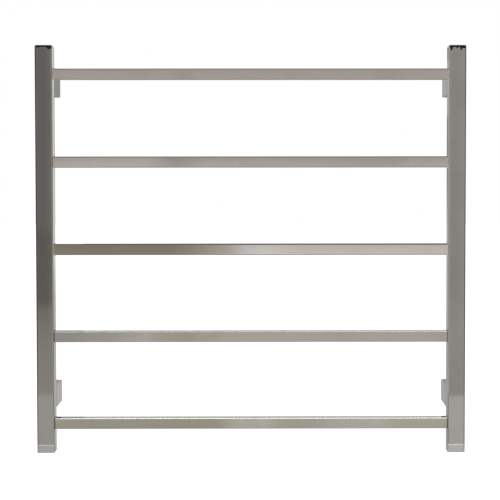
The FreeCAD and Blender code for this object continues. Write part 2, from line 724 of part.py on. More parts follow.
failed = [item.Label for item in document.Objects if {"Invalid", "Error"} & set(item.State)]
failed += [part.Label for part in sub_parts if part.Shape.isNull() or not part.Shape.isValid()]
if failed:
    raise RuntimeError(f"these did not build: {sorted(set(failed))}")

os.makedirs("parts", exist_ok=True)
for part in sub_parts:
    part.Shape.exportStep(f"parts/{part.Label}.step")
    print(f"{part.Label}: {len(part.Shape.Solids)} solid(s), {part.Shape.Volume / 1000:.2f} cm3")
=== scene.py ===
import math

import bpy
import numpy as np
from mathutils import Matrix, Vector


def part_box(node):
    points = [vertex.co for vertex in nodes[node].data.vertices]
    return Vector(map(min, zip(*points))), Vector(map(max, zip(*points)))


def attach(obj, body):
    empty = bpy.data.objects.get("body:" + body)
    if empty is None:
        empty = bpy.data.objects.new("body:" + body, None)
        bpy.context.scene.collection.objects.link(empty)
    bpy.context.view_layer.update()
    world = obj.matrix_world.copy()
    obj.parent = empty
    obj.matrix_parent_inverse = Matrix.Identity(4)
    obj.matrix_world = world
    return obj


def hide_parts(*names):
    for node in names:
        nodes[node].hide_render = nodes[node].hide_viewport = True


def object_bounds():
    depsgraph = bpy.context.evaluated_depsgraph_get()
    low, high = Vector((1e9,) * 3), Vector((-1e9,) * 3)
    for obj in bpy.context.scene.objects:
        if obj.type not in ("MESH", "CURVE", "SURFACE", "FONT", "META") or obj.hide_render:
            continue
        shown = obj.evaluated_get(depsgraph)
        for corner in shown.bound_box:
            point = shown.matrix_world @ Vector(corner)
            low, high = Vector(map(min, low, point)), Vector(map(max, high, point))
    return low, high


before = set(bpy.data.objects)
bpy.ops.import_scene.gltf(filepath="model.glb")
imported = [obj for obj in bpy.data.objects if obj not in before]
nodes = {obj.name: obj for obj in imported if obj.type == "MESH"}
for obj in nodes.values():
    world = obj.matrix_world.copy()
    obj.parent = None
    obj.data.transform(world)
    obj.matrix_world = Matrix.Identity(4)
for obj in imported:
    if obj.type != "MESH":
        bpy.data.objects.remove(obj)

cad_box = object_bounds()


# ---- Camera ----------------------------------------------------------------------------------------
# A long lens on a stand in front of the rack, a little right of its middle and above it, so that the
# tops of the lower bars show. It looks slightly down, and a small lens shift does the rest.

CAMERA_RIGHT = 0.0242  # of the rack's middle
CAMERA_HEIGHT = 0.1363  # above the middle of the four wall screws
CAMERA_BACK = 2.148  # from the front of the uprights
CAMERA_TURN = math.radians(0.4)  # to the right
CAMERA_DIP = math.radians(2.30)  # downwards
CAMERA_ROLL = math.radians(0.04)  # clockwise
LENS, FRAME = 107.4, 36  # focal length and frame width in millimetres
SHIFT_RIGHT, SHIFT_UP = -0.0561, -0.0843  # of the lens, in frame widths

camera = bpy.data.objects.new("camera", bpy.data.cameras.new("camera"))
camera.location = (CAMERA_RIGHT, cad_box[0].y - CAMERA_BACK, CAMERA_HEIGHT)
camera.rotation_euler = (math.pi / 2 - CAMERA_DIP, CAMERA_ROLL, -CAMERA_TURN)
camera.data.lens, camera.data.sensor_width = LENS, FRAME
camera.data.shift_x, camera.data.shift_y = SHIFT_RIGHT, SHIFT_UP
camera.data.clip_start, camera.data.clip_end = 0.05, 60
bpy.context.scene.collection.objects.link(camera)
bpy.context.scene.camera = camera


# ---- Studio ----------------------------------------------------------------------------------------
# A plain white floor and backdrop, and the room that the polished steel mirrors: pale behind the
# camera, with a darker wall and doorway, dim to the sides and overhead, and lighter towards the floor.


def add_node(tree, kind, inputs=None, **settings):
    """Adds a node. inputs maps a socket to its value, or to the output that feeds it."""
    node = tree.nodes.new(kind)
    for name, value in settings.items():
        setattr(node, name, value)
    for socket, value in (inputs or {}).items():
        if isinstance(value, bpy.types.NodeSocket):
            tree.links.new(value, node.inputs[socket])
        else:
            node.inputs[socket].default_value = value
    return node


def stretch(tree, value, low, high, to_low=0.0, to_high=1.0, kind="LINEAR"):
    """value carried from low..high to to_low..to_high and held there beyond; SMOOTHSTEP eases it."""
    inputs = {"Value": value, "From Min": low, "From Max": high, "To Min": to_low, "To Max": to_high}
    return add_node(tree, "ShaderNodeMapRange", inputs, interpolation_type=kind).outputs["Result"]


def colours_along(tree, value, stops):
    """A colour that runs through stops, each (place, (red, green, blue)), as value passes them."""
    first, last = stops[0][0], stops[-1][0]
    ramp = add_node(tree, "ShaderNodeValToRGB", {"Fac": stretch(tree, value, first, last)})
    points = ramp.color_ramp.elements
    while len(points) < len(stops):
        points.new(0.5)
    for point, (place, colour) in zip(points, stops):
        point.position = (place - first) / (last - first)
        point.color = (*colour, 1)
    return ramp.outputs["Color"]


def mix_colours(tree, share, first, second):
    """first where share is 0, second where it is 1."""
    node = add_node(tree, "ShaderNodeMix", data_type="RGBA")
    for socket, value in ((0, share), (6, first), (7, second)):
        if isinstance(value, bpy.types.NodeSocket):
            tree.links.new(value, node.inputs[socket])
        else:
            node.inputs[socket].default_value = value if socket == 0 else (*value, 1)
    return node.outputs[2]


def maths(tree, operation, *values):
    """One Math node on values."""
    node = add_node(tree, "ShaderNodeMath", dict(enumerate(values)), operation=operation)
    return node.outputs[0]


def vector(tree, operation, *values):
    """One Vector Math node on values."""
    return add_node(tree, "ShaderNodeVectorMath", dict(enumerate(values)), operation=operation).outputs[0]


def along_axes(tree, value):
    """The three parts of a vector."""
    return add_node(tree, "ShaderNodeSeparateXYZ", {0: value}).outputs


def between(tree, value, low, high, soft):
    """1 from low to high and 0 outside, eased over soft at both ends."""
    rise = stretch(tree, value, low - soft, low + soft, kind="SMOOTHSTEP")
    fall = stretch(tree, value, high - soft, high + soft, 1, 0, kind="SMOOTHSTEP")
    return maths(tree, "MULTIPLY", rise, fall)


def grey(value, warmth=0.0):
    """A near-neutral colour, warmer for a positive warmth."""
    return (value * (1 + warmth), value, value * (1 - warmth))


def greys(*stops):
    """Stops for colours_along in near-neutral colours, each (place, value, and warmth if any)."""
    return [(place, grey(*tone)) for place, *tone in stops]


world = bpy.data.worlds.new("studio_room")
bpy.context.scene.world = world
world.use_nodes = True
room = world.node_tree
room.nodes.clear()
look = add_node(room, "ShaderNodeTexCoord").outputs["Generated"]
look_x, look_y, look_z = along_axes(room, look)
to_degrees = math.degrees(1)
# Degrees right of straight towards the camera, right of straight towards the wall, and above level.
forwards = maths(room, "MULTIPLY", look_y, -1.0)
front = maths(room, "MULTIPLY", maths(room, "ARCTAN2", look_x, forwards), to_degrees)
rear = maths(room, "MULTIPLY", maths(room, "ARCTAN2", look_x, look_y), to_degrees)
height = maths(room, "MULTIPLY", maths(room, "ARCSINE", look_z), to_degrees)

# The room in general, by height, and dimmer to the left and right.
up_to_level = [(-90, 0.56), (-38, 0.64), (-26, 0.52), (-19, 0.33), (-13, 0.40), (-4, 0.40)]
from_level = [(7, 0.36), (15, 0.32), (28, 0.46), (42, 0.26), (58, 0.05), (90, 0.015)]
shown = colours_along(room, height, greys(*up_to_level, *from_level))
level = between(room, height, -13.5, 10, 3)
left_side = maths(room, "MULTIPLY", between(room, front, -118, -20, 3), level)
right_side = maths(room, "MULTIPLY", between(room, front, 19, 118, 3), level)
shown = mix_colours(room, left_side, shown, grey(0.02))
shown = mix_colours(room, right_side, shown, grey(0.06))
# A doorway in each side wall, square on to the sides of the rack, with a pale floor beyond it.
sideways = maths(room, "ABSOLUTE", front)
doors = maths(room, "MULTIPLY", between(room, sideways, 80, 100, 3), between(room, height, -16, 14, 3))
tones = [(-16, 0.64), (-9, 0.55), (-8.4, 0.36), (-3, 0.29), (2, 0.40), (8, 0.56), (14, 0.60)]
door = colours_along(room, height, greys(*((place, tone, 0.02) for place, tone in tones)))
shown = mix_colours(room, doors, shown, door)

# Behind the camera: what the bars face, one strip of colours for each bar's height, with how much
# lighter it grows downwards.
STRIPS = [
    (2.83, 0.04, [(-9, (0.56, 0.51, 0.49)), (9, (0.56, 0.51, 0.49))]),
    (
        -0.54,
        0.12,
        [
            (-9, (0.61, 0.56, 0.54)),
            (-6.5, (0.655, 0.60, 0.58)),
            (-4.6, (0.645, 0.59, 0.57)),
            (-3.6, (0.50, 0.462, 0.445)),
            (-2.4, (0.588, 0.54, 0.52)),
            (-1.2, (0.64, 0.585, 0.565)),
            (-0.6, (0.595, 0.545, 0.525)),
            (2.4, (0.585, 0.54, 0.52)),
            (3.1, (0.565, 0.52, 0.50)),
            (4.6, (0.54, 0.50, 0.485)),
            (5.5, (0.595, 0.55, 0.535)),
            (9, (0.61, 0.56, 0.54)),
        ],
    ),
    (
        -3.91,
        0.07,
        [
            (-9, (0.33, 0.294, 0.25)),
            (-3.7, (0.335, 0.30, 0.26)),
            (-2.4, (0.48, 0.435, 0.39)),
            (-1.5, (0.625, 0.575, 0.525)),
            (-0.9, (0.80, 0.785, 0.785)),
            (-0.1, (0.88, 0.865, 0.85)),
            (0.4, (0.875, 0.82, 0.785)),
            (1.4, (0.82, 0.755, 0.71)),
            (9, (0.80, 0.735, 0.69)),
        ],
    ),
    (
        -7.25,
        0.02,
        [
            (-9, (0.45, 0.43, 0.42)),
            (-7.8, (0.43, 0.42, 0.42)),
            (-6.0, (0.50, 0.48, 0.47)),
            (-4.55, (0.645, 0.625, 0.585)),
            (-4.35, (0.55, 0.525, 0.46)),
            (-3.0, (0.515, 0.475, 0.42)),
            (-2.35, (0.61, 0.56, 0.505)),
            (1.0, (0.62, 0.565, 0.52)),
            (6.2, (0.585, 0.568, 0.53)),
            (7.0, (0.525, 0.515, 0.49)),
            (9, (0.525, 0.515, 0.49)),
        ],
    ),
    (
        -10.55,
        -0.03,
        [
            (-9, (0.49, 0.48, 0.42)),
            (-3.0, (0.47, 0.45, 0.37)),
            (-2.0, (0.48, 0.46, 0.38)),
            (-1.1, (0.64, 0.63, 0.59)),
            (-0.2, (0.67, 0.65, 0.61)),
            (0.4, (0.57, 0.56, 0.51)),
            (1.6, (0.53, 0.53, 0.48)),
            (2.6, (0.60, 0.60, 0.55)),
            (4.2, (0.64, 0.63, 0.59)),
            (5.2, (0.56, 0.557, 0.485)),
            (9, (0.56, 0.557, 0.485)),
        ],
    ),
]
STRIP_REACH = 0.45  # half of what one bar's front takes in, in degrees
STRIP_SEAM = 0.5  # half of how far one strip fades into the next
facing = None
for (strip_height, slope, stops), above in zip(STRIPS, [None, *STRIPS]):
    top, bottom = strip_height + STRIP_REACH, strip_height - STRIP_REACH
    graded = stretch(room, height, top, bottom, 1 - slope, 1 + slope)
    strip = vector(room, "MULTIPLY", colours_along(room, front, stops), graded)
    if facing is None:
        facing = strip
    else:
        middle = (strip_height + above[0]) / 2
        below = stretch(room, height, middle + STRIP_SEAM, middle - STRIP_SEAM, kind="SMOOTHSTEP")
        facing = mix_colours(room, below, facing, strip)
# Left and right of that: what the uprights face. The floor's edge is the step low down.
facing_left = colours_along(
    room,
    height,
    [
        (-14, (0.365, 0.358, 0.338)),
        (-9.4, (0.355, 0.346, 0.326)),
        (-7.8, (0.335, 0.325, 0.305)),
        (-7.0, (0.30, 0.29, 0.27)),
        (-6.2, (0.25, 0.243, 0.228)),
        (-5.8, (0.17, 0.163, 0.152)),
        (-3.3, (0.165, 0.16, 0.15)),
        (-2.9, (0.19, 0.186, 0.178)),
        (7, (0.19, 0.186, 0.178)),
    ],
)
facing_right = colours_along(
    room,
    height,
    [
        (-14, (0.39, 0.38, 0.37)),
        (-9.5, (0.375, 0.365, 0.355)),
        (-8.6, (0.39, 0.38, 0.37)),
        (-6.2, (0.40, 0.39, 0.375)),
        (-5.8, (0.365, 0.36, 0.348)),
        (7, (0.38, 0.375, 0.363)),
    ],
)
floor_left = stretch(room, height, -9.31, -9.34)
facing_left = mix_colours(room, floor_left, facing_left, (0.46, 0.455, 0.435))
floor_right = stretch(room, height, -9.39, -9.42)
facing_right = mix_colours(room, floor_right, facing_right, (0.54, 0.54, 0.528))
# Above the floor each grows a little lighter to both sides.
upper = stretch(room, height, -8, -5)
grading = stretch(room, front, -12.95, -12.5, 0.0, 0.24, "SMOOTHSTEP")
grading = maths(room, "ADD", grading, stretch(room, front, -13.4, -13.9, 0, 0.12, "SMOOTHSTEP"))
facing_left = vector(room, "MULTIPLY", facing_left, maths(room, "MULTIPLY_ADD", grading, upper, 1.0))
grading = stretch(room, front, 12.0, 12.6, -0.01, 0.09, "SMOOTHSTEP")
grading = maths(room, "ADD", grading, stretch(room, front, 11.7, 11.3, 0, 0.06, "SMOOTHSTEP"))
facing_right = vector(room, "MULTIPLY", facing_right, maths(room, "MULTIPLY_ADD", grading, upper, 1.02))
facing = mix_colours(room, stretch(room, front, -9.5, -10.3, kind="SMOOTHSTEP"), facing, facing_left)
facing = mix_colours(room, stretch(room, front, 8.4, 9.2, kind="SMOOTHSTEP"), facing, facing_right)
ahead = maths(room, "MULTIPLY", between(room, front, -19, 18, 1.5), between(room, height, -14.5, 7, 1.2))
shown = mix_colours(room, ahead, shown, facing)

# Towards the wall: what the inner sides of the uprights and legs and the tops of the bars mirror.
low_tones, high_tones = [(-14, 0.50), (-3, 0.50), (-1.5, 0.25)], [(4.6, 0.21), (5.6, 0.60)]
bar_tops = [(7.0, 0.66, 0.01), (10.3, 0.60, 0.02), (16, 0.50)]
behind_tops = colours_along(room, height, greys(*low_tones, *high_tones, *bar_tops))
tones = greys((-14, 0.50), (-5.5, 0.54), (-4.2, 0.74), (4.2, 0.74), (4.7, 0.33), (14, 0.33))
behind_right = colours_along(room, height, tones)
tones = greys((-14, 0.42), (-7.5, 0.43), (-6, 0.54), (4.2, 0.54), (4.7, 0.385), (14, 0.385))
behind_left = colours_along(room, height, tones)
beyond_right = colours_along(room, height, greys((-14, 0.54), (-4, 0.52), (-2, 0.34), (8, 0.34)))
beyond_left = colours_along(room, height, greys((-14, 0.47), (-4, 0.47), (-2, 0.48), (8, 0.48)))
# What the upper legs' inner sides mirror, then one lower leg's inner side, then its top.
to_left = stretch(room, rear, 0.3, -0.3)
high_sides = mix_colours(room, to_left, grey(0.312), grey(0.442))
behind_tops = mix_colours(room, between(room, height, 1.2, 3.3, 0.15), behind_tops, high_sides)
legs_low = maths(room, "MULTIPLY", to_left, stretch(room, height, -3, -4))
behind_tops = mix_colours(room, legs_low, behind_tops, grey(0.43))
leg_top = maths(room, "MULTIPLY", between(room, rear, 5.8, 7.8, 0.1), between(room, height, 4.8, 6.4, 0.2))
behind_tops = mix_colours(room, leg_top, behind_tops, grey(0.31))
behind = mix_colours(room, stretch(room, rear, 7.6, 8.0), behind_tops, behind_right)
behind = mix_colours(room, stretch(room, rear, -6.95, -7.15), behind, behind_left)
behind = mix_colours(room, stretch(room, rear, 10.6, 11.2), behind, beyond_right)
behind = mix_colours(room, stretch(room, rear, -9.4, -10.0), behind, beyond_left)
astern = maths(room, "MULTIPLY", between(room, rear, -17, 17, 2), between(room, height, -14.5, 14, 1.5))
shown = mix_colours(room, astern, shown, behind)

seen = add_node(room, "ShaderNodeLightPath").outputs["Is Camera Ray"]
shown = mix_colours(room, seen, shown, grey(1.0))
background = add_node(room, "ShaderNodeBackground", {"Color": shown, "Strength": 1.0})
add_node(room, "ShaderNodeOutputWorld", {"Surface": background.outputs[0]})

# A strip light low in front of the rack, gridded to shine straight down on the two lower bars, and a
# soft panel in the middle, which brightens the inner corner of the right-hand upright.


def soft_light(name, place, turn, size, radiance, fan=180):
    """A rectangular light of an even brightness, which the camera doesn't see.

    fan is how far its light fans out, in degrees, as a grid over it would limit it.
    """
    light = bpy.data.objects.new(name, bpy.data.lights.new(name, "AREA"))
    light.data.shape = "RECTANGLE"
    light.data.size, light.data.size_y = size
    light.data.energy = radiance * math.pi * size[0] * size[1]
    light.data.spread = math.radians(fan)
    light.location = place
    light.rotation_euler = turn
    light.visible_camera = False
    bpy.context.scene.collection.objects.link(light)


downwards, to_the_right = (0, 0, 0), (0, -math.pi / 2, 0)
soft_light("low_strip", (0.02, -0.35, -0.03), downwards, size=(1.3, 0.40), radiance=3.2, fan=134)
soft_light("inner_panel", (0.06, -0.36, 0.0), to_the_right, size=(0.62, 0.44), radiance=0.27)

FLOOR_LEVEL = -0.8
FLOOR_SIDE = 16.0
floor_mesh = bpy.data.meshes.new("floor")
floor_mesh.from_pydata(
    [(x * FLOOR_SIDE, y * FLOOR_SIDE, FLOOR_LEVEL) for x, y in ((-1, -1), (1, -1), (1, 1), (-1, 1))],
    [],
    [(0, 1, 2, 3)],
)
floor = bpy.data.objects.new("floor", floor_mesh)
bpy.context.scene.collection.objects.link(floor)
floor.visible_glossy = False
floor_paint = bpy.data.materials.new("white_floor")
floor_paint.use_nodes = True
floor_shader = floor_paint.node_tree.nodes["Principled BSDF"]
floor_shader.inputs["Base Color"].default_value = (0.9, 0.9, 0.9, 1)
floor_shader.inputs["Roughness"].default_value = 0.9
floor_shader.inputs["Emission Color"].default_value = (1, 1, 1, 1)
floor_shader.inputs["Emission Strength"].default_value = 1.0
floor_mesh.materials.append(floor_paint)
bpy.context.scene.view_settings.view_transform = "Standard"


# ---- Uprights --------------------------------------------------------------------------------------
# The two square posts, stainless steel tube ground and buffed to a mirror. The walls of drawn tube are
# never quite flat: each stands a degree or two off true and swells slightly, which shows in what it
# mirrors. The buffing wheel leaves the corners duller, and has dragged the top ends out of true.

STEEL = (0.62, 0.605, 0.575)
STAINED_STEEL = (0.56, 0.54, 0.50)
POST_HALF = 0.0125
POST_CORNER = 0.0015


def blank_material(name):
    """A new material with its Principled shader and output, as (material, tree, shader, place).

    place is the point on the piece, in metres, which every pattern reads.
    """
    material = bpy.data.materials.new(name)
    material.use_nodes = True
    tree = material.node_tree
    tree.nodes.clear()
    shader = add_node(tree, "ShaderNodeBsdfPrincipled")
    add_node(tree, "ShaderNodeOutputMaterial", {"Surface": shader.outputs[0]})
    return material, tree, shader, add_node(tree, "ShaderNodeTexCoord").outputs["Object"]


def feed(tree, shader, **inputs):
    """Feeds the shader's sockets, named with _ for a space, from nodes or with a set number."""
    for name, value in inputs.items():
        socket = shader.inputs[name.replace("_", " ")]
        if isinstance(value, bpy.types.NodeSocket):
            tree.links.new(value, socket)
        else:
            socket.default_value = value


def noise(tree, place, scale, detail=2.0, roughness=0.5, stretch_by=(1, 1, 1)):
    """Soft noise of scale lumps a metre, drawn out along an axis by a small factor in stretch_by."""
    placed = add_node(tree, "ShaderNodeVectorMath", {0: place, 1: stretch_by}, operation="MULTIPLY")
    inputs = {"Vector": placed.outputs[0], "Scale": scale, "Detail": detail, "Roughness": roughness}
    return add_node(tree, "ShaderNodeTexNoise", inputs).outputs["Fac"]


def drawn_along(axis, factor):
    """stretch_by for marks that run along an axis."""
    return tuple(factor if index == axis else 1 for index in range(3))


def bump(tree, heights, normal=None):
    """A normal bumped by each (height, depth in metres) in turn."""
    for value, depth in heights:
        inputs = {"Height": value, "Distance": depth, "Strength": 1.0}
        if normal is not None:
            inputs["Normal"] = normal
        normal = add_node(tree, "ShaderNodeBump", inputs).outputs["Normal"]
    return normal


def rounded_corner(tree, place, middle, halves, corner):
    """1 on the rounded corners of a square tube and 0 on its flats.

    A point is on a corner where it is further out than the flats reach along both of the section's
    axes; halves gives half the section along each axis, and None along the tube.
    """
    away = vector(tree, "ABSOLUTE", vector(tree, "SUBTRACT", place, middle))
    axes = zip(along_axes(tree, away), halves)
    beyond = [maths(tree, "SUBTRACT", axis, half - corner) for axis, half in axes if half]
    return stretch(tree, maths(tree, "MINIMUM", *beyond), -0.0003, 0.0005)


# The inner corners' brightness is a painted highlight.
CORNER_BLEND = 0.001  # half of how far the inner corners' brightness fades out across a post
BRIGHTEST = 0.99  # the most that any steel mirrors
DRAG_FRAYING = 0.0016  # how unevenly the drag marks end
DRAG_EDGE = (0.0007, -0.0005)  # where the surface starts to turn up below a mark's end, and where it is done
DRAG_TURN = 1.5  # how far its normal turns up


def polished_steel(
    name,
    middle,
    halves,
    corner,
    lean=(0, 0, 0),
    swell=(0, 0, 0),
    wave=3e-5,
    dragged=None,
    dull_and_painted_shade_below=False,
    corner_dullness=0.12,
    painted_corner_shade=0.75,
    inward=0,
    painted_inner_highlights=None,
):
    """Mirror-buffed steel on a tube of the given half section, which has None along the tube.

    The normal leans by lean, plus swell times the distance from middle; wave is the depth of the
    ripples that buffing leaves. Fine lines run along the tube, and faint smears dull it in places.
    dragged adds the drag marks at the top end: (height of the end, [(x from middle, half width,
    depth)]), where the surface turns up and mirrors the dark ceiling. dull_and_painted_shade_below leaves the
    underside rougher and paints it near-black, a painted shade. painted_corner_shade darkens the corners'
    colour, a painted shade. painted_inner_highlights gives the corners on the inward side (1 right, -1 left)
    a painted highlight of their own instead, as (height, times the steel's).
    """
    material, tree, shader, place = blank_material(name)
    x, _, z = along_axes(tree, place)
    along = halves.index(None)
    smears = noise(tree, place, 16, 4, 0.6)
    lines = noise(tree, place, 2600, 2, 0.5, drawn_along(along, 0.02))
    colour = mix_colours(tree, stretch(tree, smears, 0.52, 0.78), STEEL, STAINED_STEEL)
    roughness = stretch(tree, smears, 0.46, 0.74, 0.018, 0.06)
    roughness = maths(tree, "ADD", roughness, stretch(tree, lines, 0.4, 0.8, 0.0, 0.012))
    on_corner = rounded_corner(tree, place, middle, halves, corner)
    roughness = maths(tree, "MULTIPLY_ADD", on_corner, corner_dullness, roughness)
    # Painted shade: painted_corner_shade darkens the corners' colour. Painted highlight:
    # painted_inner_highlights brightens the inward corners instead, by height.
    painted_corner_tone = tuple(part * painted_corner_shade for part in STEEL)
    if painted_inner_highlights:
        inner = stretch(tree, x, middle[0] - CORNER_BLEND * inward, middle[0] + CORNER_BLEND * inward)
        stops = [
            (level, tuple(min(part * shade, BRIGHTEST) for part in STEEL)) for level, shade in painted_inner_highlights
        ]
        painted_corner_tone = mix_colours(tree, inner, painted_corner_tone, colours_along(tree, z, stops))
    colour = mix_colours(tree, on_corner, colour, painted_corner_tone)
    ripples = noise(tree, place, 34, 1, 0.4, drawn_along(along, 0.35))
    normal = bump(tree, [(ripples, wave), (lines, 2e-8)])
    offset = tuple(l - s * m for l, s, m in zip(lean, swell, middle))
    normal = vector(tree, "ADD", normal, vector(tree, "MULTIPLY_ADD", place, swell, offset))
    if dragged:
        end, marks = dragged
        depth = maths(tree, "MULTIPLY", noise(tree, place, 420, 2, 0.6), DRAG_FRAYING)
        for off_middle, half_width, reach in marks:
            low, high = middle[0] + off_middle - half_width, middle[0] + off_middle + half_width
            mark = between(tree, x, low, high, half_width * 0.6)
            depth = maths(tree, "MULTIPLY_ADD", mark, reach, depth)
        below_mark = maths(tree, "SUBTRACT", maths(tree, "SUBTRACT", end, z), depth)
        turned = stretch(tree, below_mark, *DRAG_EDGE, 0, DRAG_TURN, "SMOOTHSTEP")
        normal = vector(tree, "ADD", normal, add_node(tree, "ShaderNodeCombineXYZ", {2: turned}).outputs[0])
    # Painted shade: the underside is painted near-black, and it is also rougher.
    if dull_and_painted_shade_below:
        facing = add_node(tree, "ShaderNodeNewGeometry").outputs["Normal"]
        under = stretch(tree, along_axes(tree, facing)[2], -0.8, -0.95)
        colour = mix_colours(tree, under, colour, (0.05, 0.048, 0.045))
        roughness = maths(tree, "MULTIPLY_ADD", under, 0.3, roughness)
    normal = vector(tree, "NORMALIZE", normal)
    feed(tree, shader, Base_Color=colour, Roughness=roughness, Normal=normal, Metallic=1.0)
    return material


def wear(node, material):
    """Gives a CAD node its material."""
    for held in nodes[node].material_slots:
        held.material = material


def middle_of(node):
    """The middle of a CAD node's box."""
    low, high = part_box(node)
    return tuple((low + high) / 2)


# For each post, how its front leans to the side, its drag marks in metres, the painted shade that
# darkens its outer corners, and the painted highlight that brightens its inner ones, which changes
# beside the lower legs.
POSTS = {
    "left": (
        -0.040,
        [(0.0085, 0.0030, 0.0030), (-0.0072, 0.0022, 0.0008)],
        0.45,
        [(-0.306, 1.25), (-0.221, 1.25), (-0.217, 1.6), (0.285, 1.6)],
    ),
    "right": (
        0.042,
        [
            (-0.0090, 0.0016, 0.0046),
            (0.0048, 0.0012, 0.0042),
            (-0.0006, 0.0012, 0.0016),
            (0.0090, 0.0030, 0.0016),
        ],
        0.70,
        [(-0.306, 1.1), (-0.221, 1.1), (-0.217, 1.6), (-0.185, 1.6), (-0.170, 1.5), (0.285, 1.5)],
    ),
}
for side, (lean, marks, painted_outer_shade, painted_inner_highlights) in POSTS.items():
    post = f"{side}_post"
    material = polished_steel(
        f"polished_{post}",
        middle_of(post),
        (POST_HALF, POST_HALF, None),
        POST_CORNER,
        lean=(lean, 0, 0),
        swell=(0.30, 0.30, 0),
        wave=1.6e-5,
        dragged=(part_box(post)[1].z, marks),
        painted_corner_shade=painted_outer_shade,
        inward=1 if side == "left" else -1,
        painted_inner_highlights=painted_inner_highlights,
    )
    wear(post, material)


# ---- Bars ------------------------------------------------------------------------------------------
# Five lengths of smaller square tube, the same steel with the same finish, welded between the posts
# and buffed again after welding. They are springier than the posts, so they ripple more.

BAR_HALF = 0.008
BAR_CORNER = 0.0012
# Painted shade darkens the corners of the three upper bars; the two lower bars keep the steel's colour.
BAR_PAINTED_CORNER_SHADES = (0.8, 0.65, 0.65, 1.0, 1.0)  # from the top bar down
for bar, painted_corner_shade in enumerate(BAR_PAINTED_CORNER_SHADES, start=1):
    node = f"bar_{bar}"
    material = polished_steel(
        f"polished_{node}",
        middle_of(node),
        (None, BAR_HALF, BAR_HALF),
        BAR_CORNER,
        swell=(0, 0.25, 0.25),
        wave=2.6e-5,
        corner_dullness=0.24,
        painted_corner_shade=painted_corner_shade,
    )
    wear(node, material)


# ---- Welds -----------------------------------------------------------------------------------------
# A fine bead of weld runs round each bar's end, dressed to a small hollow fillet. It is duller than the
# tube, because the wheel doesn't reach into the corner.

WELD_SIZE = 0.0009
WELD_ROOT = 0.00015  # how far a bead is let into the tubes it joins


def square_outline(half_x, half_y, corner, arc=8, side=8):
    """Points round a rectangle with rounded corners, as an array (points, 2).

    Each corner is a quarter circle about a centre that is corner in from both sides; evenly spaced
    points on the straight sides join them.
    """
    turn = np.arange(4)[:, None] * np.pi / 2 + np.linspace(0, np.pi / 2, arc)
    x = np.array([1, -1, -1, 1])[:, None] * (half_x - corner) + corner * np.cos(turn)
    y = np.array([1, 1, -1, -1])[:, None] * (half_y - corner) + corner * np.sin(turn)
    share = np.linspace(0, 1, side + 2)[1:-1]
    straight_x = x[:, -1:] * (1 - share) + np.roll(x[:, :1], -1, axis=0) * share
    straight_y = y[:, -1:] * (1 - share) + np.roll(y[:, :1], -1, axis=0) * share
    return np.stack([np.hstack([x, straight_x]).ravel(), np.hstack([y, straight_y]).ravel()], axis=-1)


def new_piece(name, rows, ring=False, sharp=35):
    """A closed piece whose surface is a grid of points, an array (rows, columns, 3).

    Columns join up round the piece. Rows join up too where ring is true; otherwise the first and last
    are closed by triangles to their middle. Faces are turned outwards by the sign of the volume.
    """
    count, across = rows.shape[:2]
    index = np.arange(count * across).reshape(count, across)
    if ring:
        index = np.vstack([index, index[:1]])
    index = np.hstack([index, index[:, :1]])
    points = rows.reshape(-1, 3)
    quads = np.stack([index[:-1, :-1], index[:-1, 1:], index[1:, 1:], index[1:, :-1]], axis=-1).reshape(-1, 4)
    fans = np.zeros((0, 3), int)
    if not ring:
        points = np.vstack([points, rows[0].mean(axis=0), rows[-1].mean(axis=0)])
        first, last = np.full(across, len(points) - 2), np.full(across, len(points) - 1)
        fans = np.vstack(
            [
                np.stack([first, index[0, 1:], index[0, :-1]], axis=-1),
                np.stack([last, index[-1, :-1], index[-1, 1:]], axis=-1),
            ]
        )
    triangles = np.vstack([quads[:, [0, 1, 2]], quads[:, [0, 2, 3]], fans])
    a, b, c = (points[triangles[:, corner]] - points.mean(axis=0) for corner in range(3))
    if np.einsum("ij,ij->", a, np.cross(b, c)) < 0:
        quads, fans = quads[:, ::-1], fans[:, ::-1]
    mesh = bpy.data.meshes.new(name)
    mesh.from_pydata(points.tolist(), [], quads.tolist() + fans.tolist())
    mesh.shade_smooth()
    mesh.set_sharp_from_angle(angle=math.radians(sharp))
    piece = bpy.data.objects.new(name, mesh)
    bpy.context.scene.collection.objects.link(piece)
    return piece


def finish_piece(piece, material, body, slot, *replaced):
    """Gives a new piece its material and its body, and hides the CAD nodes it stands for.

    slot is not used.
    """
    piece.data.materials.append(material)
    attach(piece, body)
    if replaced:
        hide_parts(*replaced)


def weld_section(size):
    """The section of a hollow fillet, as (off the bar, along the bar).

    The visible side is a quarter circle about the point size out along both; three more points close
    it just inside the two tubes.
    """
    turn = np.linspace(0, np.pi / 2, 7)
    off = np.append(size * (1 - np.cos(turn)), [size, -WELD_ROOT, -WELD_ROOT])
    along = np.append(size * (1 - np.sin(turn)), [-WELD_ROOT, -WELD_ROOT, size])
    return off, along


def weld_round_bar(name, bar, side):
    """A fillet round the end of a bar, given by its number.

    The section is carried round the bar's outline, and its size varies by two sines of the turn.
    """
    low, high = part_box(f"bar_{bar}")
    middle = (low + high) / 2
    inward = 1 if side == "left" else -1
    end = low.x if side == "left" else high.x
    outline = square_outline(BAR_HALF, BAR_HALF, BAR_CORNER)
    step = 0.001  # any distance will do
    outward = (square_outline(BAR_HALF + step, BAR_HALF + step, BAR_CORNER + step) - outline) / step
    round_bar = np.linspace(0, 2 * np.pi, len(outline), endpoint=False)
    uneven = 1 + 0.14 * np.sin(5 * round_bar + bar) + 0.06 * np.sin(17 * round_bar)
    off, along = weld_section(WELD_SIZE)
    place = outline + outward * off[:, None, None] * uneven[:, None]
    x = end + inward * along[:, None] * uneven
    rows = np.stack([x, middle.y + place[..., 0], middle.z + place[..., 1]], axis=-1)
    return new_piece(name, rows, ring=True)


